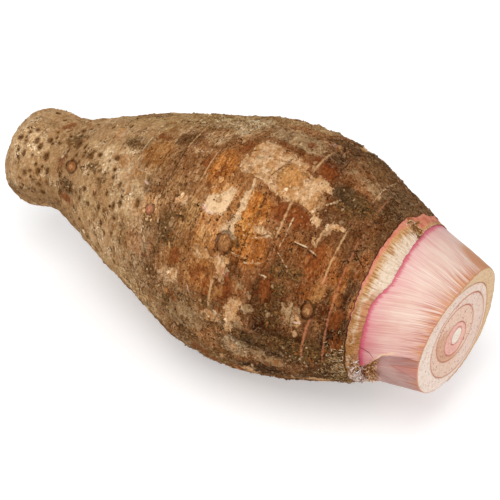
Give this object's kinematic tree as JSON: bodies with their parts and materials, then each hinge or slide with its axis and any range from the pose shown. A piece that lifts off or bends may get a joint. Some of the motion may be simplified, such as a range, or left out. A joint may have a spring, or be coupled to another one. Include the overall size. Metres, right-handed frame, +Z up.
{
  "type": "taro root",
  "caption": "Whole taro root lying on its side: tapering brown corm with ring scars, side buds and an end knob, and a pink stub of nested leaf stalks cut across.",
  "frame": {"origin": "on the surface that the root lies on, under the middle of its length and width", "axes": "+X along the root from the end knob to the cut leaf stalks, +Z up, away from the surface it lies on"},
  "size_m": [0.2484, 0.124, 0.1218],
  "materials": {
    "skin": "dry fibrous brown skin, rough and dusty with soil, tan and ochre where it has rubbed off",
    "cut_leaf_base": "cut fibrous tissue, dry and matt, tan to cream with a salmon edge",
    "outer_stalk": "smooth pink to peach stalk skin with fine lengthwise lines, slightly waxy",
    "cut_stalk": "moist pale cut flesh with reddish ring lines and dots",
    "heart": "moist cream-white cut flesh"
  },
  "bodies": {
    "root": {"corm": "skin", "leaf_base_collar": "cut_leaf_base", "leaf_stalk_1_outer": "outer_stalk", "leaf_stalk_2": "cut_stalk", "leaf_stalk_3": "cut_stalk", "leaf_stalk_4": "cut_stalk", "leaf_stalk_5_pink": "outer_stalk", "rolled_leaf_heart": "heart"}
  },
  "joints": []
}
